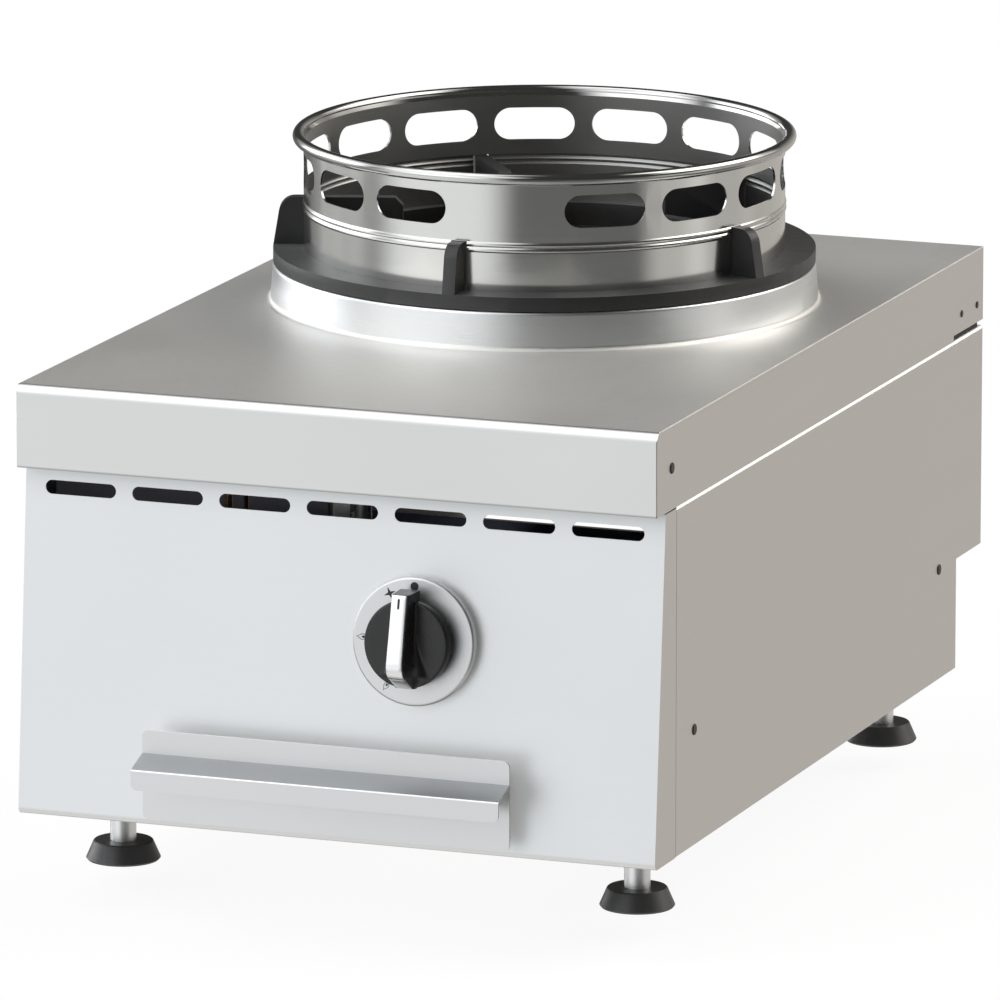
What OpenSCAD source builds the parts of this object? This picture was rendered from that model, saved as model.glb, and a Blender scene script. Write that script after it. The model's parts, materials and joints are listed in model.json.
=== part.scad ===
// Single wok burner for a counter top: a pressed worktop with a raised collar,
// a loose cast pan support with five fins, a loose slotted wok ring, one gas
// tap, a drip tray in front and four levelling feet.
// X runs to the right, Y to the rear, Z up. The origin is on the floor, in the
// middle of the outline seen from above. Millimetres.

/* [Worktop] */
// Width of the worktop
top_w = 400; // [399.8:0.1:400.2]
// Depth of the worktop, without the drip tray's handle
top_d = 600; // [599.8:0.1:600.2]
// Height of the worktop's surface above the floor
top_z = 300; // [299.9:0.05:300.1]
// Height of the folded apron round the worktop
apron_h = 49.8; // [48:0.1:50.2]
// Thickness of the worktop's sheet
top_t = 1.2; // [1.0:0.1:1.3]
// Radius of the bend along the worktop's front edge
top_bend = 5.5; // [4:0.5:6]
// Radius of the sharp folds along the other edges
edge_bend = 0.8; // [0.6:0.1:1.2]
// How far behind the worktop's middle the burner stands
burner_back = 52.6; // [52:0.1:53]

/* [Collar, pan support and wok ring] */
// Outer radius at the top of the pressed collar
collar_r = 165.3; // [164:0.1:166]
// Height of the collar above the worktop
collar_h = 23.8; // [23.5:0.1:24]
// Outer radius of the cast pan support
iron_r = 165; // [163:0.5:166]
// Thickness of the cast ring
iron_h = 8.55; // [8:0.05:8.6]
// Thickness of each cast fin
fin_t = 8; // [6:0.5:8.4]
// Height of the fins' top above the cast ring
fin_h = 29.1; // [28:0.1:29.2]
// Outer radius of the wok ring's wall
ring_r = 146.3; // [146:0.1:146.5]
// Thickness of the wok ring's wall
ring_t = 1.2; // [1:0.1:1.4]
// Width of each slot in the wok ring
slot_w = 49.8; // [40:0.1:50]
// Height of each slot in the wok ring
slot_h = 20; // [14:0.5:20]

/* [Body] */
// Tilt of the front panel from vertical
tilt = 4.72; // [4.6:0.01:4.8]
// Thickness of the body's sheets
sheet = 1; // [0.8:0.1:1]
// Width of each air slot in the front panel
vent_w = 44.7; // [36:0.1:46]
// Height of each air slot in the front panel
vent_h = 8.3; // [6:0.1:9]
// Window in the rear panel, half its width
window_x = 150; // [120:5:155]

/* [Tap and knob] */
// Knob's place to the right of the middle
knob_x = 49.4; // [48:0.1:51]
// Knob's place down the front panel from the apron
knob_s = 86; // [84:0.5:88]
// Radius of the knob's skirt
knob_r = 26; // [24:0.5:27]
// Radius of the dial
dial_r = 38.15; // [36:0.05:39]
// Height of the dial above the front panel
dial_h = 8.1; // [7:0.1:8.5]

/* [Drip tray] */
// Half the width of the drip tray's pan
pan_x = 105; // [100:1:105]
// Half the width of the drip tray's front
front_x = 115; // [112:1:118]

/* [Feet] */
// Feet's place to the left and right of the middle
foot_x = 163; // [162:0.5:164]
// Radius of a foot's pad on the floor
foot_r = 22.3; // [20:0.1:23]
// Radius of a foot's stem
stem_r = 7.8; // [7:0.1:8]

/* [Hidden] */
$fn = 96;

lip_out = 34;                       // handle's lip in front of the worktop
yf = (lip_out - top_d) / 2;         // front face of the worktop
yr = yf + top_d;                    // rear face of the worktop
hw = top_w / 2;
z0 = top_z - apron_h;               // lower edge of the apron
ztop = top_z;
yb = (yf + yr) / 2 + burner_back;   // middle of the burner
fy0 = yf + 14.965;                  // front panel's outer face at the apron's edge
fz0 = z0 + 0.04;
z_bot = 41;                         // lower face of the body
col_z = ztop + collar_h;            // top of the collar
iron_z = col_z + 0.05;
iron_top = iron_z + iron_h;
ring_z = iron_top + 0.05;
fin_top = iron_top + fin_h;
roll_z = ztop + 100.65;             // middle of the rolled rim
roll_r = 3.55;
y_low = yf + 550.35;                // rear edge of the side panel, lower part
y_up = yf + 598.8;                  // rear edge of the side panel, upper part
z_step = 110.9;                     // height of the step at the rear
foot_yf = yf + 70.5;
foot_yr = yf + 515.8;

function fy(s) = fy0 - s * sin(tilt);
function fz(s) = fz0 - s * cos(tilt);
function arc(cx, cy, r, a0, a1, n = 8) =
  [for (i = [0:n]) [cx + r * cos(a0 + (a1 - a0) * i / n), cy + r * sin(a0 + (a1 - a0) * i / n)]];
function rev(v) = [for (i = [len(v) - 1:-1:0]) v[i]];

// a place on the front panel: x across, s down the slope, local z out of it
module on_panel(x, s) {
  translate([x, fy(s), fz(s)]) rotate([90 - tilt, 0, 0]) children();
}
module tap() { on_panel(knob_x, knob_s) children(); }
module stadium(w, h) {
  translate([-(w - h) / 2, -h / 2]) square([w - h, h]);
  for (k = [-1, 1]) translate([k * (w - h) / 2, 0]) circle(d = h, $fn = 48);
}
module round_rect(w, h, r) {
  translate([-w / 2 + r, -h / 2]) square([w - 2 * r, h]);
  translate([-w / 2, -h / 2 + r]) square([w, h - 2 * r]);
  for (i = [-1, 1], j = [-1, 1]) translate([i * (w / 2 - r), j * (h / 2 - r)]) circle(r = r, $fn = 32);
}
// block between two corners
module blk(a, b) { translate(a) cube([b[0] - a[0], b[1] - a[1], b[2] - a[2]]); }
// rod from p in direction u
module rod(p, u, r, h, f = 48) {
  translate(p) rotate([0, acos(u[2]), atan2(u[1], u[0])]) cylinder(r = r, h = h, $fn = f);
}
function unit(v) = v / norm(v);
// round bar along square corners, each bent to radius br
module run(pts, r, br, f = 32) {
  n = len(pts);
  for (i = [0:n - 2]) {
    u = unit(pts[i + 1] - pts[i]);
    a = i == 0 ? 0 : br;
    b = i == n - 2 ? 0 : br;
    rod(pts[i] + u * a, u, r, norm(pts[i + 1] - pts[i]) - a - b, f);
  }
  if (n > 2) for (i = [1:n - 2]) {
    u = unit(pts[i] - pts[i - 1]);
    v = unit(pts[i + 1] - pts[i]);
    w = cross(u, v);
    c = pts[i] - u * br + v * br;
    multmatrix([[-v[0], u[0], w[0], c[0]], [-v[1], u[1], w[1], c[1]], [-v[2], u[2], w[2], c[2]], [0, 0, 0, 1]])
      rotate_extrude(angle = 90, $fn = 96) translate([br, 0]) circle(r = r, $fn = f);
  }
}
// side-to-side pair
module pair() { children(); mirror([1, 0, 0]) children(); }

// ---------------------------------------------------------------- worktop
module cover2d(w, h, ra, rb) {
  translate([-w / 2, 0]) square([w / 2, h - ra]);
  square([w / 2, h - rb]);
  translate([-w / 2 + ra, 0]) square([w - ra - rb, h]);
  translate([-w / 2 + ra, h - ra]) circle(r = ra, $fn = 64);
  translate([w / 2 - rb, h - rb]) circle(r = rb, $fn = 64);
}
// front edge with the bend radius r, the other edges folded sharp with c
module cover3d(w, d, h, r, c) {
  intersection() {
    rotate([90, 0, 0]) linear_extrude(height = d + 2, center = true) cover2d(w, h, c, c);
    rotate([90, 0, 90]) linear_extrude(height = w + 2, center = true) cover2d(d, h, r, c);
    linear_extrude(height = h + 1) round_rect(w, d, c);
  }
}
module collar2d() {
  t = top_t;
  br = collar_r + 1.3;
  f = 3.2;
  b = 2.6;
  polygon(concat(
    [[br + f + 2, ztop]],
    rev(arc(br + f, ztop + f, f, 180, 270)),
    arc(collar_r - b, col_z - b, b, 2, 90),
    [[148, col_z], [148, col_z - t]],
    rev(arc(collar_r - b, col_z - b, b - t, 0, 90)),
    arc(br + f, ztop + f, f + t, 180, 270),
    [[br + f + 2, ztop - t]]));
}
module worktop() {
  color([0.72, 0.71, 0.68]) difference() {
    union() {
      difference() {
        translate([0, (yf + yr) / 2, z0]) cover3d(top_w, top_d, apron_h, top_bend, edge_bend);
        translate([0, (yf + yr) / 2, z0 - 1]) cover3d(top_w - 2 * top_t, top_d - 2 * top_t, apron_h - top_t + 1, top_bend - top_t, 0.35);
        translate([0, yb, ztop - 10]) cylinder(r = collar_r + 6, h = 20, $fn = 180);
      }
      translate([0, yb, 0]) rotate_extrude($fn = 180) collar2d();
      // folded edge under the front apron
      blk([-hw + top_t - 0.1, yf + top_t - 0.1, z0], [hw - top_t + 0.1, yf + 11, z0 + top_t]);
    }
    // raised lower edge towards the rear
    blk([-hw - 1, yf + 542, z0 - 1], [hw + 1, yr + 1, z0 + 3.7]);
    for (k = [-1, 1]) {
      rod([k * (hw - 5), yf + 24.9, z0 + 24.7], [k, 0, 0], 2.1, 10, 24);
      rod([k * (hw - 5), yf + 557, z0 + 14.9], [k, 0, 0], 1.65, 10, 24);
      rod([k * (hw - 5), yf + 587.2, z0 + 14.9], [k, 0, 0], 1.65, 10, 24);
    }
  }
}

// ---------------------------------------------------------------- body
module front2d() {
  R = 4;
  zc = z_bot + R;
  yc = fy0 - (fz0 - zc) * tan(tilt) + R / cos(tilt);
  up = 13;
  ny = cos(tilt) * sheet;
  nz = sin(tilt) * sheet;
  polygon(concat(
    [[fy(-up), fz(-up)]],
    arc(yc, zc, R, 180 - tilt, 270),
    [[yc + 12, z_bot], [yc + 12, z_bot + sheet]],
    rev(arc(yc, zc, R - sheet, 180 - tilt, 270)),
    [[fy(-up) + ny, fz(-up) - nz]]));
}
module front_panel() {
  color([0.80, 0.81, 0.82]) difference() {
    union() {
      rotate([90, 0, 90]) linear_extrude(height = top_w, center = true) front2d();
      // folded-back sides
      for (k = [0, 1]) mirror([k, 0, 0])
        translate([hw, 0, 0]) rotate([90, 0, -90]) mirror([1, 0, 0]) linear_extrude(height = sheet)
          polygon([[fy(0.8), fz(0.8)], [fy(205.5), fz(205.5)], [fy(205.5) + 3, z_bot], [yf + 33.4, z_bot], [yf + 33.4, fz(0.8)]]);
    }
    // upper strip stands back from the sides of the worktop
    for (k = [-1, 1]) translate([k * hw, 0, 0]) blk([-3, yf, fz(0.8)], [3, yf + 40, z0 + 30]);
    for (x = [-165:55:165]) on_panel(x, 13.4) translate([0, 0, -8]) linear_extrude(height = 16) stadium(vent_w, vent_h);
    tap() translate([0, 0, -8]) cylinder(r = 8, h = 16, $fn = 48);
    for (k = [-1, 1]) tap() translate([k * 13, 0, -8]) cylinder(r = 2.1, h = 16, $fn = 24);
    blk([-pan_x - 3, yf - 20, 49.5], [pan_x + 3, yf + 12, 94.5]);
  }
}
module side_panel() {
  difference() {
    union() {
      translate([hw - sheet, 0, 0]) rotate([90, 0, 90]) linear_extrude(height = sheet)
        polygon([[yf + 33.8, z_bot + 0.4], [y_low, z_bot + 0.4], [y_low, z_step], [y_up, z_step], [y_up, z0 - 2.1], [yf + 33.8, z0 - 2.1]]);
      blk([hw - 21, yf + 33.8, z0 - 2.1 - sheet], [hw - 0.5, y_up - 1.4, z0 - 2.1]);
      blk([hw - 13, yf + 33.8, z_bot + 0.4], [hw - 0.5, y_low - 1.4, z_bot + 0.4 + sheet]);
      blk([hw - 11, yf + 33.8, z_bot + 0.4], [hw - 0.5, yf + 33.8 + sheet, z0 - 2.1]);
    }
    for (p = [[yf + 65.1, z0 - 139.4], [yf + 516.3, z0 - 139]])
      rod([hw - 5, p[0], p[1]], [1, 0, 0], 2.1, 10, 24);
  }
}
module side_panel_right() { color([0.66, 0.64, 0.61]) side_panel(); }
module side_panel_left() { color([0.66, 0.64, 0.61]) mirror([1, 0, 0]) side_panel(); }
module rear_panel() {
  w = hw - sheet - 0.1;
  color([0.7, 0.7, 0.69]) difference() {
    union() {
      blk([-w, y_low - sheet, z_bot + 0.4], [w, y_low, z_step + sheet]);
      blk([-w, y_low - sheet, z_step], [w, y_up, z_step + sheet]);
      blk([-w, y_up - sheet, z_step], [w, y_up, z0 - 3.3]);
      blk([-w + 24, y_up - 14, z0 - 4.3], [w - 24, y_up, z0 - 3.3]);
      blk([-w + 14, y_low - 14, z_bot + 0.4], [w - 14, y_low, z_bot + 0.4 + sheet]);
      for (k = [0, 1]) mirror([k, 0, 0]) {
        blk([w - sheet, y_low - 14, z_bot + 14], [w, y_low, z_step + sheet]);
        blk([w - sheet, y_up - 14, z_step], [w, y_up, z0 - 8]);
      }
    }
    // air window and the hole for the gas inlet
    translate([0, y_up + 5, (z_step + 7 + z_step + 65) / 2]) rotate([90, 0, 0]) linear_extrude(height = 10) round_rect(2 * window_x, 58, 6);
    rod([130, y_low - 8, 76], [0, 1, 0], 11, 16);
    // the step's underside is open between two cross strips
    blk([-128, y_low + 3, z_step - 2], [128, y_up - 3, z_step + sheet + 2]);
    for (k = [-2:2]) translate([k * 60, y_up + 5, 215]) rotate([90, 0, 0]) linear_extrude(height = 10) stadium(44, 8);
  }
}
module base_frame(y) {
  w = hw - sheet - 0.1;
  difference() {
    union() {
      blk([-w, y - 15, z_bot + 1.45], [w, y + 15, z_bot + 3.45]);
      pair() blk([w - 2, y - 15, z_bot + 1.45], [w, y + 15, 130]);
      pair() intersection() {
        blk([w - 22, y - 15, z_bot + 1.45], [w, y - 13, 80]);
        translate([0, y - 10, 0]) rotate([90, 0, 0]) linear_extrude(height = 10)
          polygon([[w - 22, z_bot + 1], [w + 1, z_bot + 1], [w + 1, 90], [w - 2, 80]]);
      }
    }
    for (k = [-1, 1]) translate([k * foot_x, y, 30]) cylinder(r = 5.6, h = 40, $fn = 48);
    zs = y < 0 ? z0 - 139.4 : z0 - 139;
    ys = y < 0 ? yf + 65.1 : yf + 516.3;
    for (k = [-1, 1]) rod([k * (w - 5), ys, zs], [k, 0, 0], 2.1, 10, 24);
  }
}
module base_frame_front() { color([0.6, 0.6, 0.6]) base_frame(foot_yf); }
module base_frame_rear() { color([0.6, 0.6, 0.6]) base_frame(foot_yr); }
module foot_nuts() {
  color([0.55, 0.55, 0.55]) for (x = [-foot_x, foot_x], y = [foot_yf, foot_yr])
    translate([x, y, z_bot + 3.45]) difference() {
      cylinder(d = 19.6, h = 8, $fn = 6);
      translate([0, 0, -1]) cylinder(r = 5.05, h = 10, $fn = 64);
    }
}
module tray_rail() {
  x = pan_x + 2.6;
  z = z_bot + 3.45;
  blk([x, yf + 40, z], [x + 1.5, y_low - 2, 84]);
  blk([x - 13, yf + 40, 49.8], [x + 0.1, y_low - 2, 51.3]);
  blk([x - 20, y_low - 13.4, z], [x + 0.1, y_low - 12, 84]);
}
module tray_rail_right() { color([0.62, 0.62, 0.62]) tray_rail(); }
module tray_rail_left() { color([0.62, 0.62, 0.62]) mirror([1, 0, 0]) tray_rail(); }
module front_brackets() {
  color([0.5, 0.5, 0.5]) pair() difference() {
    union() {
      blk([hw - top_t - 1.6, yf + 17.3, z0 + 4], [hw - top_t - 0.1, yf + 42, z0 + 38]);
      blk([hw - 24, yf + 17.3, z0 + 4], [hw - top_t - 0.1, yf + 18.8, z0 + 38]);
    }
    rod([hw - 8, yf + 24.9, z0 + 24.7], [1, 0, 0], 2.1, 10, 24);
  }
}
module rear_brackets() {
  color([0.28, 0.28, 0.28]) pair() difference() {
    union() {
      blk([hw - top_t - 2.1, yf + 542, z0 + 0.05], [hw - top_t - 0.1, yf + 592, z0 + 34]);
      blk([hw - 20, yf + 542, z0 + 0.05], [hw - top_t - 0.1, yf + 592, z0 + 2.05]);
      blk([hw - 20, yf + 542, z0 - 2.05], [hw - 9, yf + 592, z0 + 2.05]);
    }
    for (y = [557, 587.2]) rod([hw - 8, yf + y, z0 + 14.9], [1, 0, 0], 1.65, 10, 24);
  }
}
module heat_shield() {
  w = hw - sheet - 0.2;
  y = -130;
  color([0.68, 0.68, 0.67]) difference() {
    union() {
      blk([-w, y, 112], [w, y + sheet, 192]);
      pair() blk([w - sheet, y, 112], [w, y + 16, 192]);
      blk([-w, y - 12, 112], [w, y + sheet, 112 + sheet]);
    }
    for (x = [-150:50:150]) translate([x, y + 5, 180]) rotate([90, 0, 0]) linear_extrude(height = 10) stadium(36, 8);
  }
}

// ---------------------------------------------------------------- burner
br_z = 232;          // the burner's seat on the bridge
tube_z = 258;        // middle of the mixing tube
module bridge2d() {
  t = 1.5;
  x = hw - 8.1;
  zt = z0 - 2.05;
  polygon([[-x, zt], [-149, zt], [-149, br_z - t], [149, br_z - t], [149, zt], [x, zt],
    [x, zt + t], [149 - t, zt + t], [149 - t, br_z], [-149 + t, br_z], [-149 + t, zt + t], [-x, zt + t]]);
}
module burner_bridge() {
  color([0.6, 0.6, 0.58]) difference() {
    translate([0, yb + 42, 0]) rotate([90, 0, 0]) linear_extrude(height = 84) bridge2d();
    for (a = [45:90:315]) translate([26 * cos(a), yb + 26 * sin(a), br_z - 5]) cylinder(r = 2.3, h = 10, $fn = 24);
    translate([0, yb, br_z - 5]) cylinder(r = 14, h = 10);
    for (k = [-1, 1]) translate([k * 105, yb, br_z]) linear_extrude(height = 10, center = true) rotate(90) stadium(50, 30);
  }
}
module burner_body() {
  color([0.30, 0.30, 0.31]) difference() {
    union() {
      translate([0, yb, 0]) rotate_extrude($fn = 144)
        polygon([[0, br_z], [34, br_z], [34, br_z + 5], [26, br_z + 8], [26, br_z + 12], [58, 264], [58, 288], [0, 288]]);
      rod([0, yb - 20, tube_z], [0, -1, 0], 14, yb - 20 + 110, 64);
      for (k = [-1, 1]) blk([k > 0 ? 12 : -17.5, -80, tube_z - 5], [k > 0 ? 17.5 : -12, -68, tube_z + 5]);
    }
    translate([0, yb, 0]) rotate_extrude($fn = 144)
      polygon([[0, br_z + 6], [10, br_z + 6], [22, br_z + 14], [54, 267], [54, 289], [0, 289]]);
    rod([0, yb, tube_z], [0, -1, 0], 10.5, 200, 64);
    for (a = [45:90:315]) translate([26 * cos(a), yb + 26 * sin(a), br_z - 5]) cylinder(r = 2.3, h = 10.2, $fn = 24);
  }
}
module burner_screws() {
  color([0.55, 0.55, 0.55]) for (a = [45:90:315]) translate([26 * cos(a), yb + 26 * sin(a), 0]) {
    translate([0, 0, br_z - 1.5 - 3]) cylinder(r = 4.2, h = 3, $fn = 6);
    translate([0, 0, br_z - 1.6]) cylinder(r = 2.25, h = 6, $fn = 24);
  }
}
module injector_holder() {
  color([0.62, 0.62, 0.62]) difference() {
    union() {
      for (k = [-1, 1]) blk([k > 0 ? 17.5 : -19.5, -144, tube_z - 6], [k > 0 ? 19.5 : -17.5, -68, tube_z + 6]);
      blk([-19.5, -144, tube_z - 10], [19.5, -142, tube_z + 10]);
    }
    rod([0, -150, tube_z], [0, 1, 0], 5.1, 20);
  }
}
module injector() {
  color([0.80, 0.62, 0.25]) difference() {
    union() {
      rod([0, -142, tube_z], [0, 1, 0], 6.8, 6, 6);
      rod([0, -136.1, tube_z], [0, 1, 0], 4.2, 14);
      rod([0, -154, tube_z], [0, 1, 0], 5, 12.1);
      rod([0, -150, tube_z], [0, 1, 0], 7.4, 6, 6);
    }
    rod([0, -155, tube_z], [0, 1, 0], 3, 30);
    rod([0, -130, tube_z], [0, 1, 0], 0.75, 12, 24);
  }
}
module air_shutter() {
  color([0.70, 0.70, 0.70]) difference() {
    union() {
      rod([0, -106, tube_z], [0, 1, 0], 16.4, 20, 64);
      translate([0, -96, tube_z + 15]) cylinder(r = 4, h = 5, $fn = 6);
    }
    rod([0, -110, tube_z], [0, 1, 0], 14.08, 40, 64);
    translate([0, -96, tube_z + 10]) cylinder(r = 2.05, h = 20, $fn = 32);
  }
}
module shutter_screw() {
  color([0.80, 0.62, 0.25]) {
    translate([0, -96, tube_z + 14.3]) cylinder(r = 2, h = 8, $fn = 32);
    translate([0, -96, tube_z + 22.2]) cylinder(r = 4.4, h = 4, $fn = 32);
  }
}
module flame_spreader() {
  color([0.80, 0.62, 0.25]) translate([0, yb, 0]) difference() {
    rotate_extrude($fn = 144)
      polygon(concat([[44, 282], [53.7, 282], [53.7, 288.05], [59.5, 288.05], [61, 289.5]], [[61, 300.5], [58, 304], [29, 304], [29, 300], [44, 297]]));
    for (a = [0:10:350]) rotate([0, 0, a]) rod([40, 0, 294], [1, 0, 0], 1.5, 30, 16);
  }
}
module burner_cap() {
  color([0.10, 0.10, 0.10]) translate([0, yb, 0]) rotate_extrude($fn = 144)
    polygon(concat([[0, 304.05], [24, 304.05], [24, 298], [28.6, 298], [28.6, 304.05], [52, 304.05]], arc(49.5, 306.55, 2.5, 0, 80, 5), [[0, 312.2]]));
}
pilot_x = -80;
module pilot_burner() {
  color([0.72, 0.72, 0.72]) {
    difference() {
      union() {
        // bracket on the bridge
        blk([pilot_x - 8, yb - 2, br_z], [pilot_x + 9, yb + 34, br_z + 1.5]);
        blk([pilot_x + 7.5, yb - 2, br_z], [pilot_x + 9, yb + 34, 284]);
        blk([pilot_x - 8, yb - 2, 282.5], [pilot_x + 9, yb + 34, 284]);
      }
      translate([pilot_x, yb + 9, 270]) cylinder(r = 4.5, h = 30, $fn = 32);
      translate([pilot_x, yb + 24, 270]) cylinder(r = 3.2, h = 30, $fn = 32);
    }
    translate([pilot_x, yb + 9, 0]) difference() {
      union() {
        translate([0, 0, 262]) cylinder(r = 4.55, h = 34, $fn = 48);
        translate([0, 0, 284]) cylinder(r = 6, h = 3, $fn = 6);
        translate([0, 0, 258.2]) cylinder(r = 5.6, h = 5.8, $fn = 6);
      }
      translate([0, 0, 257]) cylinder(r = 2.05, h = 10, $fn = 32);
      translate([0, 0, 266]) cylinder(r = 3.2, h = 40, $fn = 32);
      for (a = [0:60:300]) rotate([0, 0, a]) rod([0, 0, 291], [1, 0, 0], 0.9, 8, 16);
    }
  }
}
module thermocouple() {
  color([0.75, 0.72, 0.66]) translate([pilot_x, yb + 24, 0]) {
    translate([0, 0, 270]) cylinder(r = 3.1, h = 28, $fn = 48);
    translate([0, 0, 298]) cylinder(r1 = 3.1, r2 = 1.6, h = 4, $fn = 48);
    translate([0, 0, 284.05]) cylinder(r = 4.6, h = 2.4, $fn = 6);
  }
}
lead_pts = [[pilot_x, yb + 24, 269.9], [pilot_x, yb + 24, 244], [-96, yb + 24, 244], [-96, -180, 244], [-96, -180, 158.2], [knob_x, -180, 158.2], [knob_x, -204.5, 158.2]];
module thermocouple_lead() { color([0.72, 0.45, 0.30]) run(lead_pts, 1.3, 6, 16); }
function c2(x) = round(x * 100) / 100;
pp_y = c2(fy(knob_s) + 28 * cos(tilt));
pp_z = c2(fz(knob_s) - 28 * sin(tilt));
module pilot_pipe() {
  p = [[knob_x - 21, pp_y, pp_z], [pilot_x, pp_y, pp_z], [pilot_x, pp_y, 250], [pilot_x, yb + 9, 250], [pilot_x, yb + 9, 266]];
  color([0.72, 0.45, 0.30]) difference() { run(p, 2, 8, 24); rod([knob_x - 20, pp_y, pp_z], [-1, 0, 0], 1.2, 20, 24); }
}
mp_y = c2(fy(knob_s) + 40 * cos(tilt));
mp_z = c2(fz(knob_s) - 40 * sin(tilt));
module burner_pipe() {
  p = [[knob_x - 23, mp_y, mp_z], [0, mp_y, mp_z], [0, mp_y, tube_z], [0, -154.1, tube_z]];
  color([0.70, 0.70, 0.70]) {
    difference() {
      union() { run(p, 5, 12, 32); rod([0, -166, tube_z], [0, 1, 0], 8, 8, 6); }
      rod([0, -172, tube_z], [0, 1, 0], 3.4, 22, 32);
    }
  }
}
module gas_pipe() {
  p = [[130, y_low - 2, 76], [130, mp_y, 76], [130, mp_y, mp_z], [knob_x + 23, mp_y, mp_z]];
  color([0.66, 0.66, 0.67]) {
    difference() {
      union() { run(p, 7, 18, 48); rod([knob_x + 23, mp_y, mp_z], [1, 0, 0], 11.5, 10, 6); }
      rod([130, y_low + 1, 76], [0, -1, 0], 5.2, 40, 32);
      rod([knob_x + 20, mp_y, mp_z], [1, 0, 0], 5.2, 22, 32);
    }
  }
}
module inlet_fitting() {
  color([0.80, 0.62, 0.25]) difference() {
    union() {
      rod([130, y_low - 14, 76], [0, 1, 0], 10.48, 48, 64);
      rod([130, y_low + 0.05, 76], [0, 1, 0], 15.6, 14, 6);
    }
    rod([130, y_low - 20, 76], [0, 1, 0], 7.05, 80, 64);
  }
}
module inlet_locknut() {
  color([0.80, 0.62, 0.25]) difference() {
    rod([130, y_low - sheet - 5.05, 76], [0, 1, 0], 15.6, 5, 6);
    rod([130, y_low - 20, 76], [0, 1, 0], 10.54, 40, 64);
  }
}

// ---------------------------------------------------------------- tap
module valve_bracket() {
  color([0.62, 0.62, 0.62]) tap() difference() {
    union() {
      translate([0, 0, -3]) linear_extrude(height = 1.9) round_rect(64, 46, 4);
      for (k = [-1, 1]) translate([k * 31, 0, -8]) cube([2, 46, 12], center = true);
    }
    translate([0, 0, -8]) cylinder(r = 9, h = 16, $fn = 48);
    for (k = [-1, 1]) translate([k * 13, 0, -8]) cylinder(r = 2.1, h = 16, $fn = 24);
  }
}
module valve_bonnet() {
  color([0.78, 0.60, 0.26]) tap() difference() {
    union() {
      translate([0, 0, -13]) cylinder(r = 17.5, h = 9.9, $fn = 64);
      translate([0, 0, -3.2]) cylinder(r = 7, h = 3.6, $fn = 48);
    }
    translate([0, 0, -14]) cylinder(r = 4.06, h = 20, $fn = 64);
    for (k = [-1, 1]) translate([k * 13, 0, -14]) cylinder(r = 2.1, h = 16, $fn = 24);
  }
}
module valve_body() {
  color([0.78, 0.60, 0.26]) tap() difference() {
    union() {
      translate([0, 0, -62]) linear_extrude(height = 48.9) round_rect(34, 30, 5);
      translate([0, 0, -40]) rotate([0, 90, 0]) cylinder(r = 10, h = 22.8, $fn = 48);
      translate([0, 0, -40]) rotate([0, -90, 0]) cylinder(r = 8.5, h = 22.8, $fn = 48);
      translate([0, 0, -28]) rotate([0, -90, 0]) cylinder(r = 4.6, h = 20.8, $fn = 6);
      translate([0, 14, -32]) rotate([-90, 0, 0]) cylinder(r = 4, h = 6, $fn = 32);
    }
    translate([0, 0, -50]) cylinder(r = 9, h = 50, $fn = 64);
    translate([0, 0, -70]) cylinder(r = 5, h = 30, $fn = 48);
    translate([0, 0, -40]) rotate([0, 90, 0]) cylinder(r = 5, h = 30, $fn = 32);
    translate([0, 0, -40]) rotate([0, -90, 0]) cylinder(r = 3.4, h = 30, $fn = 32);
    translate([0, 0, -28]) rotate([0, -90, 0]) cylinder(r = 1.2, h = 30, $fn = 32);
    for (k = [-1, 1]) translate([k * 13, 0, -26]) cylinder(r = 2.1, h = 16, $fn = 24);
  }
}
module valve_screws() {
  color([0.6, 0.6, 0.6]) tap() for (k = [-1, 1]) translate([k * 13, 0, 0]) {
    translate([0, 0, -25]) cylinder(r = 2, h = 26, $fn = 24);
    translate([0, 0, 0.05]) cylinder(r = 3.5, h = 2.4, $fn = 32);
  }
}
module valve_plug() {
  color([0.72, 0.55, 0.22]) tap() difference() {
    translate([0, 0, -49.5]) cylinder(r = 8.95, h = 36.3, $fn = 64);
    translate([0, 0, -46]) difference() { cylinder(r = 4.06, h = 40, $fn = 64); translate([3.46, -5, -1]) cube([5, 10, 24]); }
    for (a = [30, 120]) rotate([0, 0, a]) translate([0, 0, -40]) rotate([0, 90, 0]) cylinder(r = 2.2, h = 12, $fn = 24);
  }
}
// return spring of the push-in spindle
function spring_pt(i, k) = let (u = i * 20, c = k * 60)
  [(1.8 + 0.32 * cos(c)) * cos(u), (1.8 + 0.32 * cos(c)) * sin(u), -45.6 + 21.1 * i / 126 + 0.32 * sin(c)];
module valve_spring() {
  n = 126;
  color([0.5, 0.5, 0.52]) tap() polyhedron(
    points = [for (i = [0:n], k = [0:5]) spring_pt(i, k)],
    faces = concat([[5, 4, 3, 2, 1, 0]], [[for (k = [0:5]) n * 6 + k]],
      [for (i = [0:n - 1], k = [0:5]) [i * 6 + k, i * 6 + (k + 1) % 6, (i + 1) * 6 + (k + 1) % 6]],
      [for (i = [0:n - 1], k = [0:5]) [i * 6 + k, (i + 1) * 6 + (k + 1) % 6, (i + 1) * 6 + k]]));
}
module safety_magnet() {
  color([0.7, 0.7, 0.68]) tap() difference() {
    union() {
      translate([0, 0, -68]) cylinder(r = 10.5, h = 5.95, $fn = 6);
      translate([0, 0, -74]) cylinder(r = 6.5, h = 6.1, $fn = 48);
      translate([0, 0, -62.1]) cylinder(r = 4.9, h = 8, $fn = 48);
    }
    translate([0, 0, -76]) cylinder(r = 1.9, h = 6, $fn = 32);
  }
}
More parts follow.
